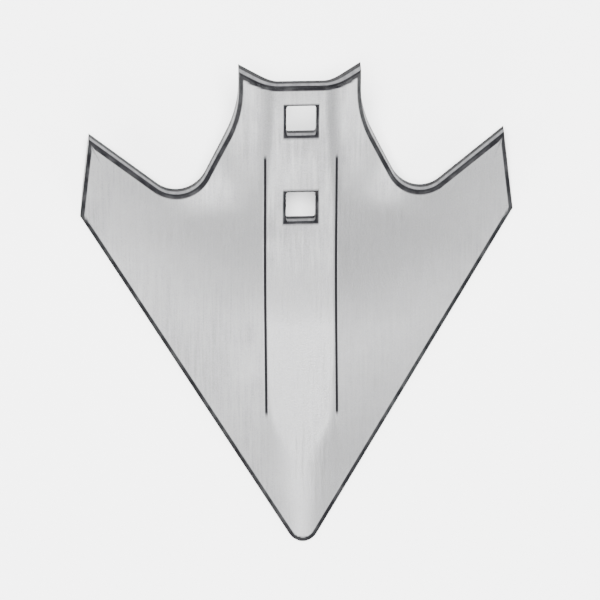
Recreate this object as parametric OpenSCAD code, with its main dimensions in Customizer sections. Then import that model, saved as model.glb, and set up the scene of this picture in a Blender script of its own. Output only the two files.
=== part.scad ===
// Cultivator sweep: one arrow-shaped steel plate, pressed to a crown over its shank.
// It lies on its two cutting edges, nose towards -Y, with the stem rising towards +Y.
// Lengths called plan lengths are measured level, seen from straight above.

/* [Wings] */
// Width over the two wing ends
share_w = 200; // [170:1:230]
// Plan length from the nose to the widest point
wing_reach = 152; // [140:1:165]
// Plan length of the cut across a wing end
tip_depth = 35; // [25:1:42]
// Sideways lean of the cut across a wing end
tip_lean = 4.5; // [0:0.5:8]
// Radius of the rounded nose
nose_r = 7.5; // [4:0.5:10]

/* [Plate] */
// Thickness of the plate
plate_t = 6; // [4:0.5:7]
// Height of the blunt cutting edge above its ground underside
edge_h = 1.5; // [0.8:0.1:2.5]
// Inside radius of the two lengthways folds
fold_inner_r = 3; // [2:0.5:6]

/* [Crown] */
// Width of the flat strip between the folds
strip_w = 32.5; // [26:0.5:38]
// Flat share of the nose's half width, where the folds fade out
nose_flat = 0.4; // [0.3:0.05:0.5]
// Rise of the nose from level
nose_pitch = 12; // [8:1:16]
// Rise of the stem from level
stem_pitch = 30; // [24:1:36]
// Radius of the bend between nose and stem
bend_r = 150; // [100:5:200]
// Angle by which the stem's sides fold back
flange_angle = 50; // [40:1:54]

/* [Stem] */
// Width of the stem
stem_w = 55.5; // [50:0.5:62]
// Length of the stem above the notches, along its slope
stem_len = 55.5; // [48:0.5:64]
// Half the plan distance between the bottoms of the two notches
notch_x = 56; // [50:1:62]
// Plan distance from the widest point back to the bottom of a notch
notch_rise = 9; // [5:1:15]
// Radius at the bottom of a notch
notch_r = 15; // [10:1:18]
// Radius that leads from a notch into the stem's side
neck_r = 45; // [30:1:55]
// Straight plan length of the stem's side below its top corner
side_len = 8; // [4:1:12]

/* [Bolt holes] */
// Width of the square-necked bolt's hole
hole_w = 13.5; // [10:0.5:16]
// Length of the hole along the stem
hole_len = 15.5; // [10:0.5:18]
// Distance between the hole centres along the stem
hole_pitch = 45; // [38:0.5:50]
// Distance from the stem's top edge to the upper hole's centre
hole_margin = 18; // [14:0.5:24]

/* [Hidden] */

// Straight length kept between the lower hole and the bend under it
bend_gap = 5;
// Plan length over which the folds soften towards the nose
fade_len = 30;
// Softest the crown gets at the nose, as a share of its flat half width
nose_soft = 0.95;
// Blend width where the crown's flat reaches its full width
flat_blend = 8;
// Plan length by which the stem's sides start to tighten ahead of a notch's bottom
crown_lead = 12;
// Sideways length past a notch's bottom over which that tightening fades out
crown_fade = 10;
// Step for measuring the slope of the surface
slope_step = 0.05;
// Height below which the back face counts as ground flat
ground_tol = 0.02;
// Halvings when the inner side of the flat ground is looked for
ground_halvings = 14;
// Least share of a row's width inside the flat ground for a column to follow it
ground_share = 0.2;
// Steps to find the trimmed rim of the back face
trim_steps = 8;
// Length of the bolt holes' cutters, which pass the plate on both sides
cutter_len = 40;
// Share of the widest neck arc that may be used, and the least room that it is worked out for
neck_share = 0.9;
neck_least = 0.1;
// Where the rows to a cutting edge's end and a wing end's top leave the middle line, from where
// the folds start to the widest point
edge_row_share = 0.42;
tip_row_share = 0.56;
// Where the row to a trailing edge's end leaves it, from there to the stem's top
trail_row_share = 0.38;

// Points along each stretch of the outline, nose to stem top
NOSE_STEPS = 6;
EDGE_STEPS = 22;
TIP_STEPS = 4;
TRAIL_STEPS = 7;
NOTCH_STEPS = 9;
LINK_STEPS = 3;
NECK_STEPS = 6;
SIDE_STEPS = 3;
// Points across half the plate: flat strip, fold, wing, flat ground along the cutting edge
FLAT_STEPS = 2;
FOLD_STEPS = 4;
WING_STEPS = 5;
GROUND_STEPS = 2;
FOLD_END = FLAT_STEPS + FOLD_STEPS;
WING_END = FOLD_END + WING_STEPS;
HALF_STEPS = WING_END + GROUND_STEPS;

// Plan outline of the right half
fold_r = plate_t + fold_inner_r;
nose_center = [0, nose_r];
tip_low = [share_w / 2, wing_reach];
tip_high = [share_w / 2 - tip_lean, wing_reach + tip_depth];
notch_y = wing_reach + notch_rise;
notch_center = [notch_x, notch_y + notch_r];
stem_top = notch_y + stem_len * cos(stem_pitch);
hole_top_y = stem_top - hole_margin * cos(stem_pitch);
hole_low_y = hole_top_y - hole_pitch * cos(stem_pitch);

// Half angle of the nose: the cutting edge runs from a wing end to touch the nose circle
nose_to_tip = tip_low - nose_center;
edge_angle = atan2(nose_to_tip.x, nose_to_tip.y) - asin(nose_r / norm(nose_to_tip));

// The stem's side folds as a straight slope, and its top is cut square to the stem
flange_slope = tan(flange_angle) / cos(stem_pitch);
corner_rise = flange_slope * sin(stem_pitch) * cos(stem_pitch) * (stem_w - strip_w) / 2;
corner = [stem_w / 2, stem_top + corner_rise];

// The neck arc is limited by the room between the stem's side and the notch
neck_y = corner.y - side_len;
neck_room = notch_x - notch_r - stem_w / 2;
neck_drop = neck_y - notch_center.y;
neck_limit = (neck_drop * neck_drop + neck_room * neck_room) / (2 * max(neck_room, neck_least));
neck_fit = min(neck_r, notch_r + neck_share * neck_limit);
neck_center = [stem_w / 2 + neck_fit, neck_y];

// Bend between nose and stem, ending below the lower hole
bend_to = hole_low_y - (hole_len / 2 + bend_gap) * cos(stem_pitch);
bend_from = bend_to - bend_r * (sin(stem_pitch) - sin(nose_pitch));
bend_from_z = edge_h + bend_from * tan(nose_pitch);
bend_to_z = bend_from_z + bend_r * (cos(nose_pitch) - cos(stem_pitch));

// Plan station where the flat strip reaches its full width and the folds start
fold_from = wing_reach - (share_w / 2 - strip_w / 2 / nose_flat) / tan(edge_angle);
// Plan stretch over which the stem's sides tighten round the shank
crown_from = notch_y - crown_lead;
crown_to = stem_top - side_len;

function mix(a, b, t) = a + (b - a) * t;
function smooth(t) = let (k = min(max(t, 0), 1)) k * k * (3 - 2 * k);
function smooth_min(a, b, k) = let (h = max(k - abs(a - b), 0) / k) min(a, b) - h * h * k / 4;

// Rounded ramp: level before s = -c, rising at 1:1 after s = c
function ramp(s, c) = s <= -c ? 0 : s >= c ? s : (s + c) * (s + c) / (4 * c);

// Half width between the cutting edges, carried on past the wing ends
function edge_x(y) = share_w / 2 - (wing_reach - y) * tan(edge_angle);

// Height of the middle line: straight nose, bend, straight stem
function spine_z(y) =
    y < bend_from ? edge_h + y * tan(nose_pitch)
    : y > bend_to ? bend_to_z + (y - bend_to) * tan(stem_pitch)
    : bend_from_z + bend_r * (cos(nose_pitch) - cos(asin(sin(nose_pitch) + (y - bend_from) / bend_r)));

// Half width of the crown's flat: full on the strip, a share of the width at the nose
function flat_half(y) = smooth_min(strip_w / 2, nose_flat * edge_x(y), flat_blend);

// Slope down from the flat: to the cutting edge on a wing, tighter on the stem
function wing_slope(y) = (spine_z(y) - edge_h) / (edge_x(y) - flat_half(y));
function crown_share(x, y) =
    smooth((y - crown_from) / (crown_to - crown_from))
    * (1 - smooth((abs(x) - stem_w / 2) / (notch_x + crown_fade - stem_w / 2)));
function side_slope(x, y) = mix(wing_slope(y), flange_slope, crown_share(x, y));

// Half width of the rounding at a fold, which softens to a dome at the nose
function fold_half(x, y) =
    mix(fold_r * side_slope(x, y) / 2, nose_soft * flat_half(y), smooth((fold_from - y) / fade_len));

// Height of the plate's front face, its point at p and its normal there
function face_z(x, y) = spine_z(y) - side_slope(x, y) * ramp(abs(x) - flat_half(y), fold_half(x, y));
function front(p) = [p.x, p.y, face_z(p.x, p.y)];
function normal(p) =
    let (
        dx = (face_z(p.x + slope_step, p.y) - face_z(p.x - slope_step, p.y)) / (2 * slope_step),
        dy = (face_z(p.x, p.y + slope_step) - face_z(p.x, p.y - slope_step)) / (2 * slope_step)
    )
    [-dx, -dy, 1] / norm([dx, dy, 1]);

// Point of the back face that faces p
function back(p) = front(p) - plate_t * normal(p);

// The outline is trimmed square to the stem: the plan point whose back lies behind the rim, by steps
function trimmed(rim, p, n) =
    let (f = front(rim), b = back(p))
    n == 0 ? p : trimmed(rim, p + [rim.x - b.x, rim.y - b.y + tan(stem_pitch) * (f.z - b.z)], n - 1);

// The back face ends level where it would pass below the cutting edges
function foot(p, q) =
    let (f = front(p), b = back(q)) b.z < ground_tol ? mix(f, b, f.z / (f.z - b.z)) : b;

// Outline pieces: a straight run, an arc, the touching point of a line from a point to a circle
function run(a, b, n) = [for (i = [1:n]) mix(a, b, i / n)];
function polar(center, r, angle) = center + r * [cos(angle), sin(angle)];
function arc(center, r, from, to, n) = [for (i = [1:n]) polar(center, r, mix(from, to, i / n))];
function touch_angle(p, center, r) =
    let (d = p - center) atan2(d.y, d.x) - acos(r / norm(d));

// Angles at which the trailing edge meets the notch, and the notch's link leaves it
trail_angle = touch_angle(tip_high, notch_center, notch_r);
link = neck_center - notch_center;
link_angle = atan2(link.y, link.x) + acos((notch_r - neck_fit) / norm(link)) - 360;

// Right-hand outline from the nose to the stem's top corner
nose_arc = arc(nose_center, nose_r, -90, -edge_angle, NOSE_STEPS);
outline = concat(
    nose_arc,
    run(nose_arc[NOSE_STEPS - 1], tip_low, EDGE_STEPS),
    run(tip_low, tip_high, TIP_STEPS),
    run(tip_high, polar(notch_center, notch_r, trail_angle), TRAIL_STEPS),
    arc(notch_center, notch_r, trail_angle, link_angle, NOTCH_STEPS),
    run(polar(notch_center, notch_r, link_angle), polar(neck_center, neck_fit, link_angle), LINK_STEPS),
    arc(neck_center, neck_fit, link_angle, -180, NECK_STEPS),
    run([stem_w / 2, neck_y], corner, SIDE_STEPS)
);

// Middle-line station of each outline point: rows lie level at the nose and fan out to the wings
edge_end = NOSE_STEPS + EDGE_STEPS - 1;
tip_end = edge_end + TIP_STEPS;
trail_end = tip_end + TRAIL_STEPS;
last_row = len(outline) - 1;
station_edge = mix(fold_from, wing_reach, edge_row_share);
station_tip = mix(fold_from, wing_reach, tip_row_share);
station_trail = mix(station_tip, stem_top, trail_row_share);
function station(i) =
    i <= edge_end
    ? (outline[i].y < fold_from ? outline[i].y
        : mix(fold_from, station_edge, (outline[i].y - fold_from) / (wing_reach - fold_from)))
    : i <= tip_end ? mix(station_edge, station_tip, (i - edge_end) / TIP_STEPS)
    : i <= trail_end ? mix(station_tip, station_trail, (i - tip_end) / TRAIL_STEPS)
    : mix(station_trail, stem_top, (i - trail_end) / (last_row - trail_end));

// Plan point of row i at sideways place x: rows bow with the crown towards the stem's top
function row_point(i, x) =
    let (
        rim = outline[i],
        fold = fold_half(strip_w / 2, rim.y),
        bow = max(0, (i - trail_end) / (last_row - trail_end)),
        across = bow > 0 ? ramp(x - strip_w / 2, fold) / ramp(rim.x - strip_w / 2, fold) : 0
    )
    [x, mix(station(i), rim.y, mix(x / rim.x, across, bow))];

// Sideways place where row i's back face comes down to the ground, by halving
function ground_x(i, inner, outer, n) =
    let (middle = (inner + outer) / 2)
    n == 0 ? middle
    : back(row_point(i, middle)).z > 0 ? ground_x(i, middle, outer, n - 1)
    : ground_x(i, inner, middle, n - 1);

// Columns of row i: even over the flat, the fold, the wing and the flat ground
function row_columns(i) =
    let (
        rim = outline[i].x,
        y = mix(station(i), outline[i].y, flat_half(station(i)) / rim),
        flat = flat_half(y),
        fold = fold_half(flat, y),
        found = ground_x(i, 0, rim, ground_halvings),
        grounded = back(outline[i]).z < 0 && found > ground_share * rim,
        ground = grounded ? found : mix(flat + fold, rim, WING_STEPS / (WING_STEPS + GROUND_STEPS)),
        folded = ground > flat + fold && found > ground_share * rim
    )
    concat(
        folded
        ? concat(
            [for (k = [0:FLAT_STEPS - 1]) mix(0, flat - fold, k / FLAT_STEPS)],
            [for (k = [0:FOLD_STEPS - 1]) mix(flat - fold, flat + fold, k / FOLD_STEPS)],
            [for (k = [0:WING_STEPS - 1]) mix(flat + fold, ground, k / WING_STEPS)]
        )
        : [for (k = [0:WING_END - 1]) mix(0, ground, k / WING_END)],
        [for (k = [0:GROUND_STEPS]) mix(ground, rim, k / GROUND_STEPS)]
    );

// Plan points under which the back face is measured: they spread out to the trimmed rim
function back_half(i, half) =
    let (shift = trimmed(outline[i], outline[i], trim_steps) - outline[i])
    [
        for (k = [0:HALF_STEPS])
            let (spread = i > edge_end ? max(0, (k - FOLD_END) / (HALF_STEPS - FOLD_END)) : 0)
            half[k] + (k == HALF_STEPS ? 1 : spread) * shift
    ];
function both_halves(half) =
    [for (k = [-HALF_STEPS:HALF_STEPS]) [k < 0 ? -half[-k].x : half[k].x, half[abs(k)].y]];
halves = [for (i = [0:last_row]) [for (x = row_columns(i)) row_point(i, x)]];
front_rows = [for (half = halves) both_halves(half)];
back_rows = [for (i = [0:last_row]) both_halves(back_half(i, halves[i]))];

// Lengthways middle of the plate, from the nose to the back of the stem's top corner
middle_y = (front_rows[0][0].y + back(back_rows[last_row][0]).y) / 2;

module plate() {
    columns = 2 * HALF_STEPS + 1;
    rows = last_row + 1;
    size = rows * columns;
    fronts = [for (row = front_rows, p = row) front(p)];
    backs = [for (i = [0:rows - 1], k = [0:columns - 1]) foot(front_rows[i][k], back_rows[i][k])];
    function at(i, k) = i * columns + k;
    cells = [for (i = [0:rows - 2], k = [0:columns - 2]) [i, k]];
    front_faces = [
        for (c = cells)
            let (
                a = at(c[0], c[1]),
                b = at(c[0], c[1] + 1),
                d = at(c[0] + 1, c[1]),
                e = at(c[0] + 1, c[1] + 1)
            )
            each c[1] < HALF_STEPS ? [[a, d, b], [d, e, b]] : [[a, d, e], [a, e, b]]
    ];
    back_faces = [for (f = front_faces) [f[2] + size, f[1] + size, f[0] + size]];
    rim = concat(
        [for (k = [0:columns - 2]) at(0, k)],
        [for (i = [0:rows - 2]) at(i, columns - 1)],
        [for (k = [columns - 1:-1:1]) at(rows - 1, k)],
        [for (i = [rows - 1:-1:1]) at(i, 0)]
    );
    rim_faces = [
        for (n = [0:len(rim) - 1])
            let (a = rim[n], b = rim[(n + 1) % len(rim)])
            each [[a, b, b + size], [a, b + size, a + size]]
    ];
    polyhedron(concat(fronts, backs), concat(front_faces, back_faces, rim_faces), convexity = 6);
}

// Square hole through the stem, square to its face
module bolt_hole(y) {
    translate([0, y, spine_z(y)])
        rotate([stem_pitch, 0, 0])
            cube([hole_w, hole_len, cutter_len], center = true);
}

module sweep() {
    color("lightgray")
        translate([0, -middle_y, 0])
            difference() {
                plate();
                bolt_hole(hole_top_y);
                bolt_hole(hole_low_y);
            }
}

sweep();
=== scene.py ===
import math

import bpy
import numpy as np
from mathutils import Matrix, Vector


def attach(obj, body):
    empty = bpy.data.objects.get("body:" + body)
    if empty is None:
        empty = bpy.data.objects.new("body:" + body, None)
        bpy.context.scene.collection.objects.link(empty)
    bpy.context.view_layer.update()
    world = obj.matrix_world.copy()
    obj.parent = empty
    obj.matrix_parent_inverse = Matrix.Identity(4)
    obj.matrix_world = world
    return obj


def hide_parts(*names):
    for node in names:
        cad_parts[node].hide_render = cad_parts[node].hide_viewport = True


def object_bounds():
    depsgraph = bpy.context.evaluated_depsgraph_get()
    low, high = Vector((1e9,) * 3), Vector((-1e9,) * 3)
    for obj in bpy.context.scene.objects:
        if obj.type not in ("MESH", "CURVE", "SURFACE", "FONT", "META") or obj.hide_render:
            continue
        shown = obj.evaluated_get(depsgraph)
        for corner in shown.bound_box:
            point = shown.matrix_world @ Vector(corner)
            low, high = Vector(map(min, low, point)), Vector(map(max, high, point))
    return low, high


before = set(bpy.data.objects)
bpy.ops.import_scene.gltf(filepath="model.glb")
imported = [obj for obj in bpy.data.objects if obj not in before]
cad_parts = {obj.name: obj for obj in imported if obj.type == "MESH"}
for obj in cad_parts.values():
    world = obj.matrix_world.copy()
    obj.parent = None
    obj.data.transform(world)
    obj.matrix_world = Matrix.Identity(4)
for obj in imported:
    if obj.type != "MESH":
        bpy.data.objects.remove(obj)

# The solid's box, read before any piece is made
CAD_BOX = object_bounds()
MM = 0.001
# Least divisor
TINY = 1e-9

bl_info = {
    "name": "Cultivator sweep",
    "version": (1, 0, 0),
    "blender": (4, 5, 0),
    "location": "View3D > Sidebar > Sweep",
    "description": "Dresses a cultivator sweep: one pressed and trimmed steel plate, with its stage",
    "category": "Add Mesh",
}


def length(name, description, default_mm, low_mm, high_mm):
    """A size property in metres, with its default and limits given in millimetres."""
    return bpy.props.FloatProperty(
        name=name, description=description, default=default_mm * MM, min=low_mm * MM, max=high_mm * MM,
        precision=5, subtype="DISTANCE", unit="LENGTH")


def angle(name, description, default_deg, low_deg, high_deg):
    """An angle property in radians, with its default and limits given in degrees."""
    return bpy.props.FloatProperty(
        name=name, description=description, default=math.radians(default_deg),
        min=math.radians(low_deg), max=math.radians(high_deg), subtype="ANGLE", unit="ROTATION")


def share(name, description, default):
    """A number from 0 to 1."""
    return bpy.props.FloatProperty(name=name, description=description, default=default, min=0.0, max=1.0,
                                   subtype="FACTOR")


def colour(name, description, default):
    """A linear colour."""
    return bpy.props.FloatVectorProperty(name=name, description=description, default=default, size=3,
                                         min=0.0, max=1.0, subtype="COLOR")


class SweepSizes(bpy.types.PropertyGroup):
    """Sizes of the plate, the same as the solid's."""

    share_w: length("Share width", "Width over the two wing ends", 200, 170, 230)
    wing_reach: length("Wing reach", "Plan length from the nose to the widest point", 152, 140, 165)
    tip_depth: length("Wing end", "Plan length of the cut across a wing end", 35, 25, 42)
    tip_lean: length("Wing end lean", "Sideways lean of the cut across a wing end", 4.5, 0, 8)
    nose_r: length("Nose radius", "Radius of the rounded nose", 7.5, 4, 10)
    plate_t: length("Plate", "Thickness of the plate", 6, 4, 7)
    edge_h: length("Edge height", "Height of the blunt cutting edge", 1.5, 0.8, 2.5)
    fold_inner_r: length("Fold radius", "Inside radius of the lengthways folds", 3, 2, 6)
    strip_w: length("Strip", "Width of the flat strip between the folds", 32.5, 26, 38)
    nose_flat: share("Nose flat", "Flat share of the nose's half width", 0.4)
    nose_pitch: angle("Nose pitch", "Rise of the nose from level", 12, 8, 16)
    stem_pitch: angle("Stem pitch", "Rise of the stem from level", 30, 24, 36)
    bend_r: length("Bend radius", "Radius of the bend between nose and stem", 150, 100, 200)
    flange_angle: angle("Flange angle", "Angle by which the stem's sides fold back", 50, 40, 54)
    stem_w: length("Stem width", "Width of the stem", 55.5, 50, 62)
    stem_len: length("Stem length", "Length of the stem above the notches", 55.5, 48, 64)
    notch_x: length("Notch place", "Half the plan distance between the notches' bottoms", 56, 50, 62)
    notch_rise: length("Notch rise", "Plan distance from the widest point to a notch's bottom", 9, 5, 15)
    notch_r: length("Notch radius", "Radius at the bottom of a notch", 15, 10, 18)
    neck_r: length("Neck radius", "Radius from a notch into the stem's side", 45, 30, 55)
    side_len: length("Stem side", "Straight plan length below the stem's top corner", 8, 4, 12)
    hole_w: length("Hole width", "Width of a bolt hole", 13.5, 10, 16)
    hole_len: length("Hole length", "Length of a bolt hole along the stem", 15.5, 10, 18)
    hole_pitch: length("Hole pitch", "Distance between the hole centres", 45, 38, 50)
    hole_margin: length("Hole margin", "From the stem's top edge to the upper hole's centre", 18, 14, 24)
    edge_round: length("Edge rounding", "Rounding of the trimmed edges", 0.7, 0.2, 1.0)
    hole_corner: length("Hole corner", "Radius in the corners of a bolt hole", 1.2, 0.2, 2.0)


class SweepFinish(bpy.types.PropertyGroup):
    """Colours and surface of the steel."""

    steel: colour("Steel", "Blasted steel of the two faces", (0.40, 0.40, 0.405))
    steel_dull: colour("Dull steel", "Duller patches of the faces", (0.285, 0.285, 0.29))
    cut_edge: colour("Cut edge", "Scale on the cut faces", (0.075, 0.075, 0.08))
    cut_worn: colour("Worn cut edge", "Streaks where that scale is worn", (0.18, 0.18, 0.185))
    scorch: colour("Scorch", "Dark line that the cut leaves along an edge", (0.005, 0.005, 0.006))
    ground: colour("Ground edge", "Ground flat under the cutting edges", (0.66, 0.66, 0.67))
    # The fold line's near-black is partly scale cracked along the bend and partly painted shade in the
    # press groove
    crease: colour("Fold line", "Press line along the folds", (0.005, 0.005, 0.006))
    roughness: share("Roughness", "Roughness of the blasted faces", 0.42)
    metal: share("Metal", "How metallic the blasted faces are", 0.88)


class SweepStage(bpy.types.PropertyGroup):
    """Floor, lights and camera."""

    floor: colour("Floor", "Pale floor", (0.93, 0.93, 0.93))
    camera_height: length("Camera height", "Height of the camera over the floor", 3200, 1000, 6000)
    camera_side: angle("Camera side", "Lean of the camera's line towards the left wing", 2.48, 0, 5)
    camera_rear: angle("Camera rear", "Lean of the camera's line towards the stem", 1.15, 0, 5)
    camera_roll: angle("Camera roll", "Turn of the picture", -1.15, -5, 5)
    aim_x: length("Aim across", "Place across the floor that the camera faces", 0.8, -20, 20)
    aim_y: length("Aim along", "Place along the floor that the camera faces", 1.2, -20, 20)
    view_w: length("View width", "Width of the floor that the picture takes in", 277.2, 220, 400)


class PlateForm:
    """The plate's height over the plan, in metres: x across, y from the nose to the stem.

    The middle line is a straight nose, a round bend and a straight stem. A flat strip follows it, and
    from the strip's sides the plate slopes down: on a wing to the level cutting edge, on the stem at
    the flange angle. A parabola rounds each fold. The back face lies one thickness behind along the
    front's normal, and ends level where it would pass below the cutting edges.
    """

    # Straight length of the stem between the bend and the lower hole
    BEND_GAP = 5 * MM
    # Plan length over which the nose's dome turns into the two folds
    FADE_LEN = 30 * MM
    # Half width of the dome's rounding, as a share of the flat's
    NOSE_SOFT = 0.95
    # Difference of the strip's and the nose's flat within which the two blend
    FLAT_BLEND = 8 * MM
    # How far ahead of the notches the flanges begin, and how far outside them they are gone
    CROWN_LEAD, CROWN_FADE = 12 * MM, 10 * MM
    # Step by which a slope is measured
    SLOPE_STEP = 0.05 * MM
    # Rounds that settle the trimmed edge
    TRIM_STEPS = 8
    # Most of the room beside the stem that the neck's arc takes
    NECK_SHARE = 0.9

    def __init__(self, s):
        self.s = s
        cos_stem, sin_stem = math.cos(s.stem_pitch), math.sin(s.stem_pitch)
        cos_nose, sin_nose = math.cos(s.nose_pitch), math.sin(s.nose_pitch)
        self.half = s.share_w / 2
        self.notch_y = s.wing_reach + s.notch_rise
        self.stem_top = self.notch_y + s.stem_len * cos_stem
        self.hole_top_y = self.stem_top - s.hole_margin * cos_stem
        self.hole_low_y = self.hole_top_y - s.hole_pitch * cos_stem
        along = s.wing_reach - s.nose_r
        nose_turn = math.asin(s.nose_r / math.hypot(self.half, along))
        self.edge_angle = math.atan2(self.half, along) - nose_turn
        self.flange_slope = math.tan(s.flange_angle) / cos_stem
        rise = self.flange_slope * sin_stem * cos_stem * (s.stem_w - s.strip_w) / 2
        self.corner = np.array([s.stem_w / 2, self.stem_top + rise])
        self.bend_to = self.hole_low_y - (s.hole_len / 2 + self.BEND_GAP) * cos_stem
        self.bend_from = self.bend_to - s.bend_r * (sin_stem - sin_nose)
        self.bend_from_z = s.edge_h + self.bend_from * math.tan(s.nose_pitch)
        self.bend_to_z = self.bend_from_z + s.bend_r * (cos_nose - cos_stem)
        widening = self.half - s.strip_w / 2 / s.nose_flat
        self.fold_from = s.wing_reach - widening / math.tan(self.edge_angle)
        self.crown_from = self.notch_y - self.CROWN_LEAD
        self.crown_to = self.stem_top - s.side_len

    def edge_x(self, y):
        """Half width between the cutting edges, a straight line in y."""
        return self.half - (self.s.wing_reach - y) * math.tan(self.edge_angle)

    def spine_z(self, y):
        """Height of the middle line: a slope, an arc, a steeper slope."""
        s = self.s
        sine = np.clip(math.sin(s.nose_pitch) + (y - self.bend_from) / s.bend_r, -1, 1)
        bend = self.bend_from_z + s.bend_r * (math.cos(s.nose_pitch) - np.sqrt(1 - sine * sine))
        nose = s.edge_h + y * math.tan(s.nose_pitch)
        stem = self.bend_to_z + (y - self.bend_to) * math.tan(s.stem_pitch)
        return np.where(y < self.bend_from, nose, np.where(y > self.bend_to, stem, bend))

    def flat_half(self, y):
        """Half width of the flat: the strip's, or a share of the nose's width, with a soft minimum."""
        strip, nose = self.s.strip_w / 2, self.s.nose_flat * self.edge_x(y)
        near = np.maximum(self.FLAT_BLEND - np.abs(strip - nose), 0) / self.FLAT_BLEND
        return np.minimum(strip, nose) - near * near * self.FLAT_BLEND / 4

    def side_slope(self, x, y):
        """Slope beside the flat: the wing's, which meets the cutting edge, mixed into the flange's."""
        s = self.s
        wing = (self.spine_z(y) - s.edge_h) / (self.edge_x(y) - self.flat_half(y))
        up = smooth((y - self.crown_from) / (self.crown_to - self.crown_from))
        out = smooth((np.abs(x) - s.stem_w / 2) / (s.notch_x + self.CROWN_FADE - s.stem_w / 2))
        return wing + (self.flange_slope - wing) * up * (1 - out)

    def fold_half(self, x, y):
        """Half width of the rounding at a fold: radius times half the slope, a dome at the nose."""
        fold = (self.s.plate_t + self.s.fold_inner_r) * self.side_slope(x, y) / 2
        dome = self.NOSE_SOFT * self.flat_half(y)
        return fold + (dome - fold) * smooth((self.fold_from - y) / self.FADE_LEN)

    def face_z(self, x, y):
        """Height of the front face: the middle line less the side slope times a rounded ramp."""
        over, round_half = np.abs(x) - self.flat_half(y), self.fold_half(x, y)
        return self.spine_z(y) - self.side_slope(x, y) * ramp(over, round_half)

    def front(self, plan):
        """Points of the front face over plan points."""
        return np.concatenate([plan, self.face_z(plan[..., 0], plan[..., 1])[..., None]], -1)

    def back(self, plan):
        """Points of the back face: the front's, moved one thickness along the normal."""
        x, y, h = plan[..., 0], plan[..., 1], self.SLOPE_STEP
        dx = (self.face_z(x + h, y) - self.face_z(x - h, y)) / (2 * h)
        dy = (self.face_z(x, y + h) - self.face_z(x, y - h)) / (2 * h)
        normal = unit(np.stack([-dx, -dy, np.ones_like(dx)], -1))
        return self.front(plan) - self.s.plate_t * normal

    def foot(self, plan, behind):
        """Back face under plan, measured at behind: the line between the faces, ended at the floor."""
        f, b = self.front(plan), self.back(behind)
        down = np.where(b[..., 2] < 0, f[..., 2] / (f[..., 2] - b[..., 2]), 1.0)
        return f + (b - f) * down[..., None]

    def press_ends(self):
        """Plan stations of the press line's start, by the folds' start, and end, below the upper hole."""
        return self.fold_from - PRESS_LEAD, self.hole_top_y - PRESS_GAP

    def trim_shift(self, rim):
        """Plan shift from rim points to those whose back lies square to the stem behind the rim."""
        tan_stem, f, p = math.tan(self.s.stem_pitch), self.front(rim), rim.copy()
        for _ in range(self.TRIM_STEPS):
            b = self.back(p)
            p[:, 0] += rim[:, 0] - b[:, 0]
            p[:, 1] += rim[:, 1] - b[:, 1] + tan_stem * (f[:, 2] - b[:, 2])
        return p - rim


def smooth(t):
    """Smooth step of t, level before 0 and after 1."""
    k = np.clip(t, 0, 1)
    return k * k * (3 - 2 * k)


def ramp(over, c):
    """Zero before -c, a parabola to c, then a straight rise of one to one."""
    safe = np.maximum(c, TINY)
    return np.where(over <= -c, 0.0, np.where(over >= c, over, (over + c) ** 2 / (4 * safe)))


def run(a, b, n):
    """n points of a straight run from a to b, without a."""
    return a + (b - a) * (np.arange(1, n + 1) / n)[:, None]


def arc(center, r, start, end, n):
    """n points of an arc between two angles, without the first."""
    t = start + (end - start) * np.arange(1, n + 1) / n
    return center + r * np.stack([np.cos(t), np.sin(t)], -1)


# Rows along each stretch of the rim, nose to stem top, and columns across half the plate
NOSE_ROWS, EDGE_ROWS, TIP_ROWS, TRAIL_ROWS = 8, 96, 18, 30
NOTCH_ROWS, LINK_ROWS, NECK_ROWS, SIDE_ROWS = 28, 8, 26, 8
HOLE_COLS, STRIP_COLS, FOLD_COLS, WING_COLS, GROUND_COLS = 8, 7, 20, 24, 8
# Places among the bands of columns: in the strip they draw closer to the holes, in the fold to the
# press line
STRIP_BAND, FOLD_BAND = 1, 2
# Rows from the trailing edge's end to itself, to the start and end of the lower and of the upper hole,
# to the scorch line below the stem's top and to that top
HOLE_ROW_STEPS = (0, 16, 28, 46, 56, 62, 70)
# Steps round the rounding of an edge, and the most of an edge's height that one rounding takes
EDGE_LEVELS, ROUND_MOST = 4, 0.3
# Levels down the cut face, as shares of its height, and how much each is scorched
WALL_PLACES = np.array([0.0, 0.1, 0.3, 0.46, 0.56, 1.0])
WALL_SCORCH = np.array([1.0, 0.0, 0.0, 0.0, 1.0, 1.0])
# Where rows leave the middle line for the cutting edge's end, the wing's end and the trailing edge's
# end, as shares of the way from the folds' start to the wing's reach
EDGE_SHARE, TIP_SHARE, TRAIL_SHARE = 0.35, 0.64, 0.745
# Power with which rows rise to the trailing edge, and how gently it starts along the wing's end
TRAIL_POWER, POWER_EASE = 3.0, 1.6
# Width along an edge that has close columns, for the scorch line
SCORCH_BAND = 3 * MM
# Distances from an edge at which the scorch line starts and ends to fade
SCORCH_FULL, SCORCH_GONE = 1.8 * MM, 2.2 * MM
# How much narrower the line is round a hole
SCORCH_HOLE = 0.6 * MM
# Press line along a fold: its groove's depth and half width, and the plan length over which it ends
GROOVE_DEPTH, GROOVE_HALF, GROOVE_END = 0.3 * MM, 0.55 * MM, 4 * MM
# Plan lengths from the folds' start back to the press line's, and from the line's end to the upper
# hole's centre
PRESS_LEAD, PRESS_GAP = 1.2 * MM, 13.2 * MM
# Points along half of the stem's top edge, for distances from it
TOP_POINTS = 24


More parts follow.
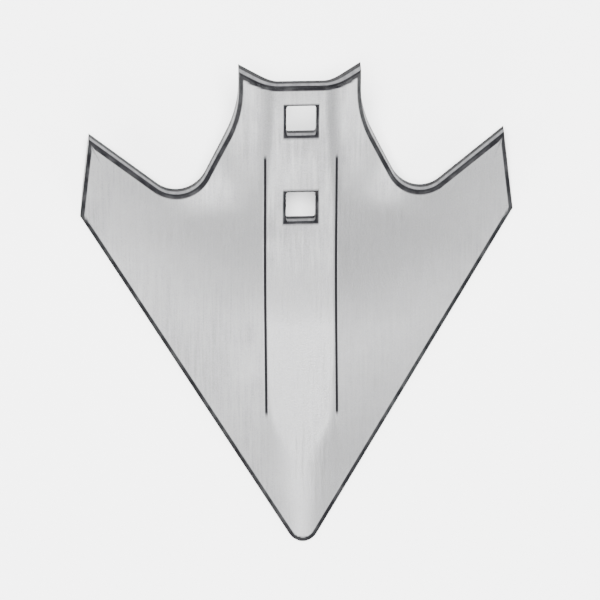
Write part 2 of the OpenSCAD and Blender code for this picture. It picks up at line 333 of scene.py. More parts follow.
def rim_points(form):
    """Right-hand rim in plan: nose arc, cutting edge, wing end, trailing edge, notch arc, link line
    that touches both arcs, neck arc and the stem's straight side."""
    s = form.s
    tip_low = np.array([form.half, s.wing_reach])
    tip_high = tip_low + np.array([-s.tip_lean, s.tip_depth])
    notch = np.array([s.notch_x, form.notch_y + s.notch_r])
    neck_y = form.corner[1] - s.side_len
    room, drop = s.notch_x - s.notch_r - s.stem_w / 2, neck_y - notch[1]
    neck_fit = min(s.neck_r, s.notch_r + PlateForm.NECK_SHARE * (drop * drop + room * room) / (2 * room))
    neck = np.array([s.stem_w / 2 + neck_fit, neck_y])
    to_tip, to_neck = tip_high - notch, neck - notch
    trail = math.atan2(to_tip[1], to_tip[0]) - math.acos(s.notch_r / np.linalg.norm(to_tip))
    link = math.atan2(to_neck[1], to_neck[0]) - 2 * math.pi
    link += math.acos((s.notch_r - neck_fit) / np.linalg.norm(to_neck))
    nose = arc(np.array([0, s.nose_r]), s.nose_r, -math.pi / 2, -form.edge_angle, NOSE_ROWS)
    trail_end = notch + s.notch_r * np.array([math.cos(trail), math.sin(trail)])
    link_way = np.array([math.cos(link), math.sin(link)])
    return np.concatenate([
        nose,
        run(nose[-1], tip_low, EDGE_ROWS),
        run(tip_low, tip_high, TIP_ROWS),
        run(tip_high, trail_end, TRAIL_ROWS),
        arc(notch, s.notch_r, trail, link, NOTCH_ROWS),
        run(notch + s.notch_r * link_way, neck + neck_fit * link_way, LINK_ROWS),
        arc(neck, neck_fit, link, -math.pi, NECK_ROWS),
        run(np.array([s.stem_w / 2, neck_y]), form.corner, SIDE_ROWS),
    ])


class PlateRows:
    """Rows that fan out from the middle line to the rim, and columns that keep to strip, fold and wing.

    A row leaves the middle line level, as far as the bolt holes reach, and then rises to its rim point
    with a power of the way across: straight to the cutting edge, and steeply up to the trailing edge,
    so that it never runs along it. Towards the stem's top it bows with the flange instead.
    """

    # Shares of a row's half width: the most that stays level, the step that measures its slant at the
    # rim, the most that the edge's rounding takes, the place where its fold is measured and the most
    # that strip and fold take
    LEVEL_MOST, SLANT_STEP, INSET_MOST, FOLD_PLACE, FOLD_MOST = 0.5, 0.01, 0.25, 0.3, 0.75
    # Least sine of the angle between a row and the rim
    LEAST_SLANT = 0.2
    # Width of the flat, in hole widths, that gives the holes columns of their own, and the share of a
    # narrower flat that those columns take
    HOLE_ROOM, HOLE_SHARE = 1.15, 0.6
    # Shares of a wing: the most that the scorch line's columns take, and the first and last place for
    # the ground flat's inner line
    SCORCH_MOST, GROUND_FIRST, GROUND_LAST = 0.3, 0.1, 0.95
    # Halvings that find that line
    HALVINGS = 24
    # How strongly the fold's columns draw closer to the press line, from 0 to 1
    CLOSER = 0.75

    def __init__(self, form):
        s = form.s
        self.form, self.rim = form, rim_points(form)
        self.count = len(self.rim)
        self.edge_end = NOSE_ROWS + EDGE_ROWS - 1
        self.tip_end = self.edge_end + TIP_ROWS
        self.trail_end = self.tip_end + TRAIL_ROWS
        self.hole_half = s.hole_w / 2 + s.edge_round
        reach = (s.hole_len / 2 + s.edge_round) * math.cos(s.stem_pitch)
        self.hole_rows = [self.trail_end + k for k in HOLE_ROW_STEPS]
        marks = [form.hole_low_y - reach, form.hole_low_y + reach, form.hole_top_y - reach,
                 form.hole_top_y + reach, form.stem_top - SCORCH_BAND, form.stem_top]
        index, rim_y = np.arange(self.count), self.rim[:, 1]
        fan = form.fold_from + (rim_y - form.fold_from) * EDGE_SHARE
        starts = [form.fold_from + (s.wing_reach - form.fold_from) * k
                  for k in (EDGE_SHARE, TIP_SHARE, TRAIL_SHARE)]
        later = np.interp(index, [self.edge_end, self.tip_end] + self.hole_rows, starts + marks)
        early = np.where(rim_y < form.fold_from, rim_y, fan)
        self.station = np.where(index > self.edge_end, later, early)
        self.bow = np.maximum(0, (index - self.trail_end) / (self.count - 1 - self.trail_end))
        begin = np.clip((index - self.edge_end) / TIP_ROWS, 0, 1) ** POWER_EASE
        finish = np.clip((index - self.trail_end) / NOTCH_ROWS, 0, 1)
        self.power = 1 + (TRAIL_POWER - 1) * begin * (1 - finish)
        self.shift = form.trim_shift(self.rim)

    def plan(self, x):
        """Plan points of every row at sideways places x, one row of x for each."""
        rim_x, rim_y = self.rim[:, :1], self.rim[:, 1:]
        strip = self.form.s.strip_w / 2
        level = np.minimum(self.hole_half, self.LEVEL_MOST * rim_x)
        rising = np.maximum(0, (x - level) / (rim_x - level)) ** self.power[:, None]
        fold = self.form.fold_half(strip, rim_y)
        flange = ramp(x - strip, fold) / np.maximum(ramp(rim_x - strip, fold), TINY)
        across = rising + (flange - rising) * self.bow[:, None]
        station = self.station[:, None]
        return np.stack([x, station + (rim_y - station) * across], -1)

    def ground_x(self):
        """Sideways place where each row's back face comes down to the floor, by halving."""
        inner, outer = np.zeros(self.count), self.rim[:, 0].copy()
        for _ in range(self.HALVINGS):
            middle = (inner + outer) / 2
            above = self.form.back(self.plan(middle[:, None]))[:, 0, 2] > 0
            inner, outer = np.where(above, middle, inner), np.where(above, outer, middle)
        return middle

    def columns(self, ground=None):
        """Sideways places of the right-hand columns: even over hole, strip, fold, wing and edge."""
        rim_x = self.rim[:, 0]
        step = self.SLANT_STEP * rim_x[:, None]
        arrive = (self.rim - self.plan(rim_x[:, None] - step)[:, 0]) / step
        along = unit(np.gradient(self.rim, axis=0))
        slant = np.abs(arrive[:, 0] * along[:, 1] - arrive[:, 1] * along[:, 0])
        slant = np.maximum(slant, self.LEAST_SLANT)
        last = rim_x - np.minimum(self.form.s.edge_round / slant, self.INSET_MOST * rim_x)
        y = self.plan((self.FOLD_PLACE * rim_x)[:, None])[:, 0, 1]
        flat = self.form.flat_half(y)
        fold = self.form.fold_half(flat, y)
        fit = np.minimum(1, self.FOLD_MOST * last / (flat + fold))
        inner, outer = fit * (flat - fold), fit * (flat + fold)
        hole = np.where(inner > self.HOLE_ROOM * self.hole_half, self.hole_half, inner * self.HOLE_SHARE)
        edge = last - np.minimum(SCORCH_BAND / slant, self.SCORCH_MOST * (last - outer))
        if ground is not None:
            first_place = outer + self.GROUND_FIRST * (last - outer)
            last_place = outer + self.GROUND_LAST * (last - outer)
            edge = np.where(ground < last_place, np.maximum(ground, first_place), edge)
        marks = np.stack([np.zeros_like(hole), hole, inner, outer, edge, last], -1)
        counts = np.cumsum([0, HOLE_COLS, STRIP_COLS, FOLD_COLS, WING_COLS, GROUND_COLS])
        place = np.arange(counts[-1] + 1)
        band = np.clip(np.searchsorted(counts, place, side="right") - 1, 0, len(counts) - 2)
        t = (place - counts[band]) / (counts[band + 1] - counts[band])
        side = 2 * t - 1
        closer = 0.5 + 0.5 * ((1 - self.CLOSER) * side + self.CLOSER * side ** 3)
        t = np.where(band == FOLD_BAND, closer, np.where(band == STRIP_BAND, t * t, t))
        return marks[:, band] + (marks[:, band + 1] - marks[:, band]) * t


def both_sides(half):
    """Mirrors right-hand rows of points to the left and joins them on the middle line."""
    left = half[:, :0:-1] * np.array([-1.0] + [1.0] * (half.shape[-1] - 1))
    return np.concatenate([left, half], 1)


def border(grid):
    """Border of a grid of points or indices, once round: nose, right side, stem top, left side."""
    return np.concatenate([grid[0, :-1], grid[:-1, -1], grid[-1, :0:-1], grid[:0:-1, 0]])


def sheet_quads(index, keep):
    """Quads over a grid of vertex indices, where keep is true."""
    quads = np.stack([index[:-1, :-1], index[:-1, 1:], index[1:, 1:], index[1:, :-1]], -1)
    return quads[keep]


def ring_quads(levels):
    """Quads between closed rings of vertex indices, each ring one row of levels."""
    ahead = np.roll(levels, -1, axis=1)
    return np.stack([levels[1:], ahead[1:], ahead[:-1], levels[:-1]], -1).reshape(-1, 4)


def rounded_levels(start, corner, end, n):
    """n levels inside a parabola from start to end that leans on corner."""
    t = (np.arange(1, n) / n)[:, None, None]
    return (1 - t) ** 2 * start + 2 * t * (1 - t) * corner + t ** 2 * end


def unit(v):
    """Vectors of length one."""
    return v / np.maximum(np.linalg.norm(v, axis=-1, keepdims=True), TINY)


def edge_levels(rows, front, back, nose_front, nose_back, top_front, top_back):
    """Levels of the trimmed edge from the front's border to the back's.

    Each border point leans on the true corner of the edge there: a rounding, the sheared face, a
    rounding. nose and top give the corners along the first and last row, and the rim the rest.
    """
    form = rows.form
    rim_front = form.front(rows.rim)
    rim_back = form.foot(rows.rim, rows.rim + rows.shift)
    mirror = np.array([-1.0, 1.0, 1.0])

    def corners(nose, rim, top):
        """The edge's corners in the border's order."""
        return np.concatenate([nose[:-1], rim[:-1], top[:0:-1], (rim * mirror)[:0:-1]])

    corner_f = corners(nose_front, rim_front, top_front)
    corner_b = corners(nose_back, rim_back, top_back)
    depth = np.linalg.norm(corner_b - corner_f, axis=1, keepdims=True)
    r = np.minimum(form.s.edge_round, ROUND_MOST * depth)
    down = unit(corner_b - corner_f)
    face_top, face_low = corner_f + r * down, corner_b - r * down
    return np.concatenate([
        rounded_levels(border(front), corner_f, face_top, EDGE_LEVELS),
        face_top + (face_low - face_top) * WALL_PLACES[:, None, None],
        rounded_levels(face_low, corner_b, border(back), EDGE_LEVELS),
    ])


def hole_levels(form, center_y, across, along):
    """Levels of a square hole's wall: a quarter round at each face and a straight wall between.

    across and along place the ring's points from -1 to 1; a level sets the half sizes and the depth,
    and the corners are drawn in to their radius.
    """
    s = form.s
    r, t = s.edge_round, s.plate_t
    turn = np.linspace(0, math.pi / 2, EDGE_LEVELS + 1)[1:-1]
    wall = r + (t - 2 * r) * WALL_PLACES
    grow = np.concatenate([r * (1 - np.sin(turn)), 0 * wall, r * (1 - np.sin(turn[::-1]))])
    depth = np.concatenate([r * (1 - np.cos(turn)), wall, t - r * (1 - np.cos(turn[::-1]))])
    half = np.stack([s.hole_w / 2 + grow, s.hole_len / 2 + grow], -1)[:, None]
    place = np.stack([across, along], -1)[None] * half
    inside = half - s.hole_corner
    past = np.maximum(np.abs(place) - inside, 0)
    reach = np.linalg.norm(past, axis=-1, keepdims=True)
    draw = np.where(reach > s.hole_corner, s.hole_corner / np.maximum(reach, TINY), 1.0)
    place = np.sign(place) * np.minimum(np.abs(place), inside + past * draw)
    cos_stem, sin_stem = math.cos(s.stem_pitch), math.sin(s.stem_pitch)
    center = np.array([0, center_y, float(form.spine_z(np.array(center_y)))])
    sideways, up_stem = np.array([1.0, 0, 0]), np.array([0, cos_stem, sin_stem])
    outward = np.array([0, -sin_stem, cos_stem])
    on_face = center + place[..., :1] * sideways + place[..., 1:] * up_stem
    return on_face - depth[:, None, None] * outward


def plate_surface(sizes):
    """The whole plate as vertices, quads and masks of its front, its cut faces and the scorch line.

    Front and back are grids of height over the rows and columns. A ring of levels closes them along
    the rim, and one closes each bolt hole, where the grids' cells are left out.
    """
    form = PlateForm(sizes)
    rows = PlateRows(form)
    r = sizes.edge_round
    ground = rows.ground_x()
    front_half, back_half = rows.plan(rows.columns()), rows.plan(rows.columns(ground))
    back_half[0], back_half[-1] = front_half[0], front_half[-1]
    columns = front_half.shape[1]
    fold_end = HOLE_COLS + STRIP_COLS + FOLD_COLS
    spread = np.clip((np.arange(columns) - fold_end) / (columns - 1 - fold_end), 0, 1)
    on_edge = np.arange(rows.count) <= rows.edge_end
    outer = np.arange(columns) == columns - 1
    spread = np.where(on_edge[:, None], np.where(outer, 1.0, 0.0), spread)
    shift = spread[..., None] * rows.shift[:, None]

    # The first and last rows lie one rounding inside the nose and the stem's top edge
    inset_nose = min(r, ROUND_MOST * float(rows.rim[1, 1] - rows.rim[0, 1]))
    inset_top = np.array([0, r * math.cos(sizes.stem_pitch)])
    nose_plan, top_plan = front_half[0].copy(), front_half[-1].copy()
    nose_plan[-1], top_plan[-1] = rows.rim[0], rows.rim[-1]
    for half in (front_half, back_half):
        half[0] += np.array([0, inset_nose])
        half[-1] -= inset_top
    pressed, crease = form.front(front_half), press_line(form, front_half)
    pressed[..., 2] -= GROOVE_DEPTH * crease
    front = both_sides(pressed)
    back = both_sides(form.foot(back_half, back_half + shift))
    edge = edge_levels(
        rows, front, back,
        both_sides(form.front(nose_plan)[None])[0],
        both_sides(form.foot(nose_plan, nose_plan + shift[0])[None])[0],
        both_sides(form.front(top_plan)[None])[0],
        both_sides(form.foot(top_plan, top_plan + shift[-1])[None])[0])

    across = front.shape[1]
    size = rows.count * across
    front_index = np.arange(size).reshape(rows.count, across)
    back_index = front_index + size
    keep = np.ones((rows.count - 1, across - 1), bool)
    middle = columns - 1
    points, cut = [front.reshape(-1, 3), back.reshape(-1, 3)], [np.zeros(2 * size)]
    scorch = [scorch_mask(rows, half).ravel() for half in (front_half, back_half)]
    quads = []
    total = 2 * size

    def close(levels, first, last, inward):
        """Adds a ring of levels between two borders of the sheets."""
        nonlocal total
        index = total + np.arange(levels.shape[0] * levels.shape[1]).reshape(levels.shape[:2])
        total += index.size
        points.append(levels.reshape(-1, 3))
        rounding = np.ones(EDGE_LEVELS - 1)
        cut.append(np.ones(index.size))
        scorch.append(np.repeat(np.concatenate([rounding, WALL_SCORCH, rounding]), levels.shape[1]))
        ring = ring_quads(np.concatenate([first[None], index, last[None]]))
        quads.append(ring[:, ::-1] if inward else ring)

    close(edge, border(front_index), border(back_index), False)
    for center_y, start, end in (
            (form.hole_low_y, rows.hole_rows[1], rows.hole_rows[2]),
            (form.hole_top_y, rows.hole_rows[3], rows.hole_rows[4])):
        keep[start:end, middle - HOLE_COLS:middle + HOLE_COLS] = False
        hole = slice(start, end + 1), slice(middle - HOLE_COLS, middle + HOLE_COLS + 1)
        shape = front_index[hole].shape
        across_at = np.broadcast_to(np.linspace(-1, 1, shape[1]), shape)
        along_at = np.broadcast_to(np.linspace(-1, 1, shape[0])[:, None], shape)
        levels = hole_levels(form, center_y, border(across_at), border(along_at))
        close(levels, border(front_index[hole]), border(back_index[hole]), True)

    quads.append(sheet_quads(front_index, keep))
    quads.append(sheet_quads(back_index, keep)[:, ::-1])
    masks = {"front": (np.arange(total) < size).astype(float), "cut": np.concatenate(cut),
             "scorch": np.concatenate(scorch)}
    return np.concatenate(points), np.concatenate(quads), masks


def rim_distance(rows, plan):
    """Plan distance of right-hand points to the nearest stretch of the rim and the stem's top edge."""
    top_x = np.linspace(rows.rim[-1, 0], 0, TOP_POINTS)[None, 1:]
    top = rows.plan(np.repeat(top_x, rows.count, 0))[-1]
    line = np.concatenate([[[0, rows.rim[0, 1]]], rows.rim, top])
    a, way = line[:-1], np.diff(line, axis=0)
    flat = plan.reshape(-1, 1, 2)
    t = np.clip(((flat - a) * way).sum(-1) / (way * way).sum(-1), 0, 1)
    near = np.linalg.norm(flat - a - t[..., None] * way, axis=-1).min(1)
    return near.reshape(plan.shape[:-1])


def hole_distance(form, plan):
    """Distance of right-hand points to the nearer bolt hole's edge, along the stem."""
    s = form.s
    past_x = plan[..., 0] - s.hole_w / 2
    past_y = [np.abs(plan[..., 1] - y) / math.cos(s.stem_pitch) - s.hole_len / 2
              for y in (form.hole_low_y, form.hole_top_y)]
    return np.maximum(past_x, np.minimum(*past_y))


def scorch_mask(rows, plan):
    """One along the cut edges and round the holes, fading to zero into the plate."""
    near = np.minimum(rim_distance(rows, plan), hole_distance(rows.form, plan) + SCORCH_HOLE)
    mask = 1 - smooth((near - SCORCH_FULL) / (SCORCH_GONE - SCORCH_FULL))
    return np.concatenate([mask[:, :0:-1], mask], 1)


def press_line(form, plan):
    """One on the press line along a fold, falling off as a bell across it and towards its two ends."""
    bell = np.exp(-((plan[..., 0] - form.s.strip_w / 2) / GROOVE_HALF) ** 2)
    start, stop = form.press_ends()
    y = plan[..., 1]
    return bell * smooth((y - start) / GROOVE_END) * smooth((stop - y) / GROOVE_END)


def signed_volume(points, quads):
    """Volume inside a closed surface of quads, positive where its faces point outwards."""
    a, b, c, d = (points[quads[:, k]] for k in range(4))
    return float((a * (np.cross(b, c) + np.cross(c, d))).sum() / 6)


def middle_y(form):
    """Plan length from the nose to the middle of the solid's box, which the stem's back corner ends."""
    corner = form.corner[None]
    return float(form.foot(corner, corner + form.trim_shift(corner))[0, 1]) - CAD_BOX[1].y


def new_piece(name, points, quads):
    """Puts points and quads into a smooth-shaded mesh object at the origin."""
    mesh = bpy.data.meshes.new(name)
    mesh.vertices.add(len(points))
    mesh.vertices.foreach_set("co", points.astype(np.float32).ravel())
    mesh.loops.add(quads.size)
    mesh.loops.foreach_set("vertex_index", quads.astype(np.int32).ravel())
    mesh.polygons.add(len(quads))
    mesh.polygons.foreach_set("loop_start", np.arange(0, quads.size, 4, dtype=np.int32))
    mesh.polygons.foreach_set("use_smooth", np.ones(len(quads), bool))
    mesh.update(calc_edges=True)
    if mesh.validate():
        raise RuntimeError(f"{name} has faces that Blender had to mend")
    piece = bpy.data.objects.new(name, mesh)
    bpy.context.scene.collection.objects.link(piece)
    return piece


class NodeBench:
    """Short calls for placing and wiring shader nodes."""

    # Places of a mix node's factor and colour inputs, and of its colour output
    MIX_INPUTS, MIX_OUTPUT = (0, 6, 7), 2

    def __init__(self, tree):
        self.tree = tree

    def add(self, kind, **settings):
        """A new node with its settings."""
        node = self.tree.nodes.new(kind)
        for key, value in settings.items():
            setattr(node, key, value)
        return node

    def wire(self, source, target):
        """Leads an output socket to an input socket."""
        self.tree.links.new(source, target)

    def put(self, socket, value):
        """A number or colour is set on the socket, and another socket is wired to it."""
        if isinstance(value, bpy.types.NodeSocket):
            self.wire(value, socket)
        else:
            socket.default_value = value

    def mask(self, name):
        """One of the mesh's own masks."""
        return self.add("ShaderNodeAttribute", attribute_name=name).outputs["Fac"]

    def math(self, operation, a, b=0.0, clamp=False):
        """One operation on one or two numbers."""
        node = self.add("ShaderNodeMath", operation=operation, use_clamp=clamp)
        self.put(node.inputs[0], a)
        self.put(node.inputs[1], b)
        return node.outputs[0]

    def fit(self, value, low, high, to_low=0.0, to_high=1.0, smooth_step=False):
        """Maps a number from one range to another and keeps it there."""
        kind = "SMOOTHSTEP" if smooth_step else "LINEAR"
        node = self.add("ShaderNodeMapRange", interpolation_type=kind)
        for socket, v in zip(node.inputs[:5], (value, low, high, to_low, to_high)):
            self.put(socket, v)
        return node.outputs[0]

    def mix(self, factor, a, b, blend="MIX"):
        """Blends colour b over colour a."""
        node = self.add("ShaderNodeMix", data_type="RGBA", blend_type=blend)
        for place, v in zip(self.MIX_INPUTS, (factor, a, b)):
            self.put(node.inputs[place], v)
        return node.outputs[self.MIX_OUTPUT]

    def noise(self, vector, scale, detail=2.0, roughness=0.5):
        """Noise from 0 to 1, its scale per metre."""
        node = self.add("ShaderNodeTexNoise")
        values = {"Vector": vector, "Scale": scale, "Detail": detail, "Roughness": roughness}
        for key, v in values.items():
            self.put(node.inputs[key], v)
        return node.outputs["Fac"]

    def stretch(self, vector, scale):
        """A vector with its own scale on each axis."""
        node = self.add("ShaderNodeMapping")
        self.put(node.inputs["Vector"], vector)
        node.inputs["Scale"].default_value = scale
        return node.outputs["Vector"]


def rgba(c):
    """A colour property with full alpha."""
    return (*c, 1.0)


def new_material(name):
    """An empty material, its node bench, its shader and its Object coordinates."""
    material = bpy.data.materials.new(name)
    material.use_nodes = True
    material.node_tree.nodes.clear()
    bench = NodeBench(material.node_tree)
    shader = bench.add("ShaderNodeBsdfPrincipled")
    output = bench.add("ShaderNodeOutputMaterial")
    bench.wire(shader.outputs["BSDF"], output.inputs["Surface"])
    return material, bench, shader, bench.add("ShaderNodeTexCoord").outputs["Object"]


# Noises on the steel, each with scale, detail and roughness, and the scales on x, y and z of those
# that are stretched
PATCH_NOISE, GRAIN_NOISE, SCORCH_NOISE = (26.0, 5.0, 0.6), (1500.0, 2.0, 0.7), (160.0, 3.0, 0.6)
ROLLED_NOISE, STREAK_NOISE, SCRATCH_NOISE = (1.0, 3.0, 0.6), (1.0, 2.0, 0.6), (1.0, 2.0, 0.7)
ROLLED_SCALES, STREAK_SCALES = (900.0, 45.0, 45.0), (400.0, 400.0, 60.0)
SCRATCH_SCALES = (120.0, 1400.0, 1.0)
# The part of each noise that is used
PATCH_PART, GRAIN_PART, SCORCH_PART = (0.36, 0.66), (0.3, 0.7), (0.25, 0.6)
ROLLED_PART, STREAK_PART, SCRATCH_PART = (0.35, 0.7), (0.3, 0.7), (0.3, 0.7)
# How much of its colour each lays on, and the greys of grain and rolled streaks
GRAIN_MIX, ROLLED_MIX, STREAK_MIX = (0.0, 0.35), (0.0, 0.4), (0.0, 0.6)
SCRATCH_MIX, SCORCH_MIX = (0.0, 0.5), (0.93, 1.0)
GRAIN_SHADE, ROLLED_SHADE = (0.30, 0.30, 0.30, 1.0), (0.45, 0.45, 0.45, 1.0)
# What patches, grain and rolled streaks add to the roughness, and what the ground flat takes off
PATCH_ROUGH, GRAIN_ROUGH, ROLLED_ROUGH = (0.06, -0.04), (-0.05, 0.05), (0.05, -0.07)
GROUND_SHINE = 0.12
# How much of the metal the scale on a cut face hides
SCALE_HIDES = 0.6
# Distances from a press line's middle at which its dark colour, partly scale and partly painted shade in
# the groove, starts and ends to fade
PRESS_SHADE_FULL, PRESS_SHADE_GONE = 0.5 * MM, 0.8 * MM
# Heights over the floor at which the ground flat's colour starts and ends to fade
GROUND_FULL, GROUND_GONE = 0.05 * MM, 0.25 * MM
# Gloss of the dark marks, and the strength and depth of the grain's bump
STEEL_SPECULAR, GRAIN_BUMP, GRAIN_DEPTH = 0.05, 0.4, 0.15 * MM


def steel_material(finish, sizes):
    """Blasted plate: dull patches, fine grain, darker sheared edges, a dark line along each fold's press
    groove that is partly scale and partly painted shade, and bright ground flats under the cutting edges."""
    material, bench, shader, place = new_material("blasted_steel")
    split = bench.add("ShaderNodeSeparateXYZ")
    bench.wire(place, split.inputs[0])
    across, along, height = split.outputs
    patches = bench.fit(bench.noise(place, *PATCH_NOISE), *PATCH_PART)
    grain = bench.noise(place, *GRAIN_NOISE)
    rolled = bench.noise(bench.stretch(place, ROLLED_SCALES), *ROLLED_NOISE)
    face = bench.mix(patches, rgba(finish.steel_dull), rgba(finish.steel))
    face = bench.mix(bench.fit(grain, *GRAIN_PART, *GRAIN_MIX), face, GRAIN_SHADE, "MULTIPLY")
    face = bench.mix(bench.fit(rolled, *ROLLED_PART, *ROLLED_MIX), face, ROLLED_SHADE)

    form = PlateForm(sizes)
    # Painted shade along each fold: a near-black line without metal over the press groove on the front
    # face, partly cracked scale and partly the groove's shade
    away = bench.math("SUBTRACT", bench.math("ABSOLUTE", across), sizes.strip_w / 2)
    line = bench.fit(bench.math("ABSOLUTE", away), PRESS_SHADE_FULL, PRESS_SHADE_GONE, 1.0, 0.0, True)
    start, stop = (end - middle_y(form) for end in form.press_ends())
    rise = bench.fit(along, start, start + GROOVE_END, 0.0, 1.0, True)
    fall = bench.fit(along, stop - GROOVE_END, stop, 1.0, 0.0, True)
    crease = bench.math("MULTIPLY", line, bench.math("MULTIPLY", rise, fall))
    crease = bench.math("MULTIPLY", crease, bench.mask("front"))
    face = bench.mix(crease, face, rgba(finish.crease))

    cut = bench.mask("cut")
    streak = bench.noise(bench.stretch(place, STREAK_SCALES), *STREAK_NOISE)
    worn = bench.fit(streak, *STREAK_PART, *STREAK_MIX)
    face = bench.mix(cut, face, bench.mix(worn, rgba(finish.cut_edge), rgba(finish.cut_worn)))
    uneven = bench.fit(bench.noise(place, *SCORCH_NOISE), *SCORCH_PART, *SCORCH_MIX)
    scorch = bench.math("MULTIPLY", bench.mask("scorch"), uneven)
    face = bench.mix(scorch, face, rgba(finish.scorch))
    ground = bench.fit(height, GROUND_FULL, GROUND_GONE, 1.0, 0.0)
    scratch = bench.noise(bench.stretch(place, SCRATCH_SCALES), *SCRATCH_NOISE)
    scratch = bench.fit(scratch, *SCRATCH_PART, *SCRATCH_MIX)
    face = bench.mix(ground, face, bench.mix(scratch, rgba(finish.ground), rgba(finish.steel_dull)))
    bench.wire(face, shader.inputs["Base Color"])

    rough = bench.fit(patches, 0.0, 1.0, *(finish.roughness + more for more in PATCH_ROUGH))
    rough = bench.math("ADD", rough, bench.fit(grain, *GRAIN_PART, *GRAIN_ROUGH))
    rough = bench.math("ADD", rough, bench.fit(rolled, *ROLLED_PART, *ROLLED_ROUGH))
    rough = bench.math("SUBTRACT", rough, bench.math("MULTIPLY", ground, GROUND_SHINE), True)
    bench.wire(rough, shader.inputs["Roughness"])
    # The metal is taken off by the scorch, by the press line's scale and painted shade, and by the cut
    # faces' scale
    dark = bench.math("MAXIMUM", scorch, crease)
    dark = bench.math("MAXIMUM", dark, bench.math("MULTIPLY", cut, SCALE_HIDES))
    bench.wire(bench.fit(dark, 0.0, 1.0, finish.metal, 0.0), shader.inputs["Metallic"])
    shader.inputs["Specular IOR Level"].default_value = STEEL_SPECULAR
    bump = bench.add("ShaderNodeBump")
    bump.inputs["Strength"].default_value = GRAIN_BUMP
    bump.inputs["Distance"].default_value = GRAIN_DEPTH
    bench.wire(grain, bump.inputs["Height"])
    bench.wire(bump.outputs["Normal"], shader.inputs["Normal"])
    return material


# The floor's unevenness as scale, detail and darker shade, its roughness, and its gloss
FLOOR_SCALE, FLOOR_DETAIL, FLOOR_SHADE = 3.0, 3.0, 0.985
FLOOR_ROUGHNESS, FLOOR_SPECULAR = 0.9, 0.1
# Half the floor's side in metres, and its cells along a side
FLOOR_HALF, FLOOR_CELLS = 4.0, 8


def floor_material(stage):
    """Matt pale sheet with a faint unevenness."""
    material, bench, shader, place = new_material("pale_floor")
    cloud = bench.noise(place, FLOOR_SCALE, FLOOR_DETAIL)
    shade = tuple(FLOOR_SHADE * c for c in stage.floor)
    bench.wire(bench.mix(cloud, rgba(stage.floor), rgba(shade)), shader.inputs["Base Color"])
    shader.inputs["Roughness"].default_value = FLOOR_ROUGHNESS
    shader.inputs["Specular IOR Level"].default_value = FLOOR_SPECULAR
    return material


# How much large faces count in the normals
FACE_WEIGHT = 50


class SWEEP_OT_plate(bpy.types.Operator):
    """Makes the pressed plate with its trimmed edges, bolt holes and blasted steel"""

    bl_idname = "sweep.plate"
    bl_label = "Steel plate"
    bl_options = {"REGISTER", "UNDO"}

    def execute(self, context):
        sizes = context.scene.sweep_sizes
        points, quads, masks = plate_surface(sizes)
        points = points - np.array([0, middle_y(PlateForm(sizes)), 0])
        if signed_volume(points, quads) <= 0:
            raise RuntimeError("the plate is inside out")
        plate = new_piece("sweep_plate", points, quads)
        for name, values in masks.items():
            mask = plate.data.attributes.new(name, "FLOAT", "POINT")
            mask.data.foreach_set("value", values.astype(np.float32))
        weighted = plate.modifiers.new("Flat faces", "WEIGHTED_NORMAL")
        weighted.weight = FACE_WEIGHT
        plate.data.materials.append(steel_material(context.scene.sweep_finish, sizes))
        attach(plate, "root")
        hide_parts("sweep")
        return {"FINISHED"}


# Soft lights: name, side in metres, power in watts and place; and the point that they face
SOFTBOXES = (
    ("softbox_above", 1.2, 590.0, (-0.15, 0.35, 3.4)),
    ("softbox_left", 1.4, 56.0, (-2.3, -0.6, 1.7)),
    ("softbox_front", 1.6, 52.0, (-0.2, -2.6, 1.7)),
    ("softbox_right", 1.4, 52.0, (2.3, -0.3, 1.6)),
)
LIGHT_AIM = (0.0, 0.0, 0.03)
# Light from all round
STUDIO_COLOUR, STUDIO_STRENGTH = (0.95, 0.97, 1.0, 1.0), 0.5
# The camera's sensor in millimetres and the end of its view in metres
SENSOR_W, VIEW_END = 36.0, 100.0


def area_light(name, size, power, place):
    """A square soft light that faces the plate."""
    data = bpy.data.lights.new(name, "AREA")
    data.shape, data.size, data.energy = "SQUARE", size, power
    light = bpy.data.objects.new(name, data)
    light.location = place
    light.rotation_euler = (Vector(LIGHT_AIM) - Vector(place)).to_track_quat("-Z", "Y").to_euler()
    bpy.context.scene.collection.objects.link(light)


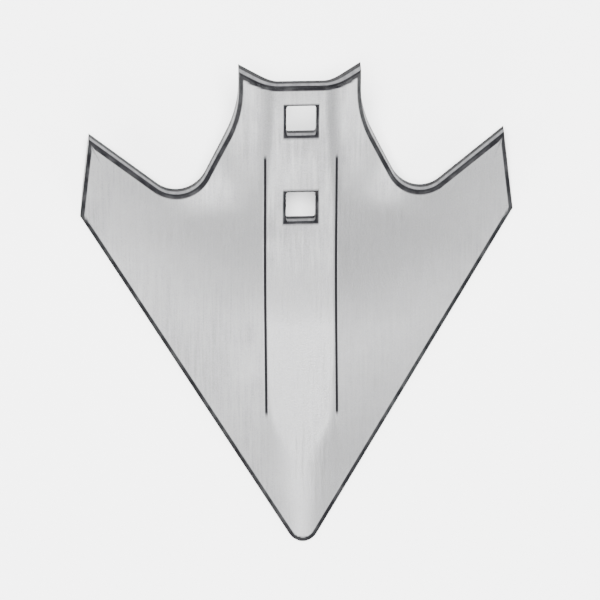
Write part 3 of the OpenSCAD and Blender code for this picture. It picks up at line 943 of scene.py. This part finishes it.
class SWEEP_OT_stage(bpy.types.Operator):
    """Lays the pale floor and sets the soft lights and the camera that looks down"""

    bl_idname = "sweep.stage"
    bl_label = "Floor, lights and camera"
    bl_options = {"REGISTER", "UNDO"}

    def execute(self, context):
        stage = context.scene.sweep_stage
        line = np.linspace(-FLOOR_HALF, FLOOR_HALF, FLOOR_CELLS + 1)
        u, v = np.meshgrid(line, line)
        points = np.stack([u, v, np.zeros_like(u)], -1).reshape(-1, 3)
        index = np.arange(u.size).reshape(u.shape)
        keep = np.ones((FLOOR_CELLS, FLOOR_CELLS), bool)
        floor = new_piece("floor", points, sheet_quads(index, keep))
        floor.data.materials.append(floor_material(stage))

        world = bpy.data.worlds.new("studio")
        world.use_nodes = True
        back = world.node_tree.nodes["Background"]
        back.inputs["Color"].default_value = STUDIO_COLOUR
        back.inputs["Strength"].default_value = STUDIO_STRENGTH
        context.scene.world = world
        for softbox in SOFTBOXES:
            area_light(*softbox)

        data = bpy.data.cameras.new("camera")
        camera = bpy.data.objects.new("camera", data)
        data.sensor_width = SENSOR_W
        side, rear = -math.sin(stage.camera_side), math.sin(stage.camera_rear)
        back_way = Vector((side, rear, math.sqrt(1 - side * side - rear * rear)))
        right = (Vector((1.0, 0.0, 0.0)) - back_way * back_way.x).normalized()
        axes = Matrix((right, back_way.cross(right), back_way)).transposed().to_4x4()
        place = Vector((stage.aim_x, stage.aim_y, 0.0)) + back_way * stage.camera_height
        roll = Matrix.Rotation(stage.camera_roll, 4, "Z")
        camera.matrix_world = Matrix.Translation(place) @ axes @ roll
        data.lens = data.sensor_width * stage.camera_height / stage.view_w
        data.clip_end = VIEW_END
        context.scene.collection.objects.link(camera)
        context.scene.camera = camera
        return {"FINISHED"}


class SWEEP_PT_panel(bpy.types.Panel):
    """Lists the sweep's sizes, finish and operators"""

    bl_idname = "SWEEP_PT_panel"
    bl_label = "Cultivator sweep"
    bl_space_type = "VIEW_3D"
    bl_region_type = "UI"
    bl_category = "Sweep"

    def draw(self, context):
        for group in (context.scene.sweep_sizes, context.scene.sweep_finish, context.scene.sweep_stage):
            box = self.layout.box()
            for key in group.__annotations__:
                box.prop(group, key)
        self.layout.operator(SWEEP_OT_plate.bl_idname)
        self.layout.operator(SWEEP_OT_stage.bl_idname)


CLASSES = (SweepSizes, SweepFinish, SweepStage, SWEEP_OT_plate, SWEEP_OT_stage, SWEEP_PT_panel)


def register():
    """Registers the classes and hangs the properties on the scene."""
    for cls in CLASSES:
        bpy.utils.register_class(cls)
    bpy.types.Scene.sweep_sizes = bpy.props.PointerProperty(type=SweepSizes)
    bpy.types.Scene.sweep_finish = bpy.props.PointerProperty(type=SweepFinish)
    bpy.types.Scene.sweep_stage = bpy.props.PointerProperty(type=SweepStage)


def unregister():
    """Takes the properties and classes away again."""
    for key in ("sweep_sizes", "sweep_finish", "sweep_stage"):
        delattr(bpy.types.Scene, key)
    for cls in reversed(CLASSES):
        bpy.utils.unregister_class(cls)


def main():
    """Makes the pieces and the stage."""
    register()
    bpy.ops.sweep.plate()
    bpy.ops.sweep.stage()
    bpy.context.view_layer.update()


if __name__ == "__main__":
    main()
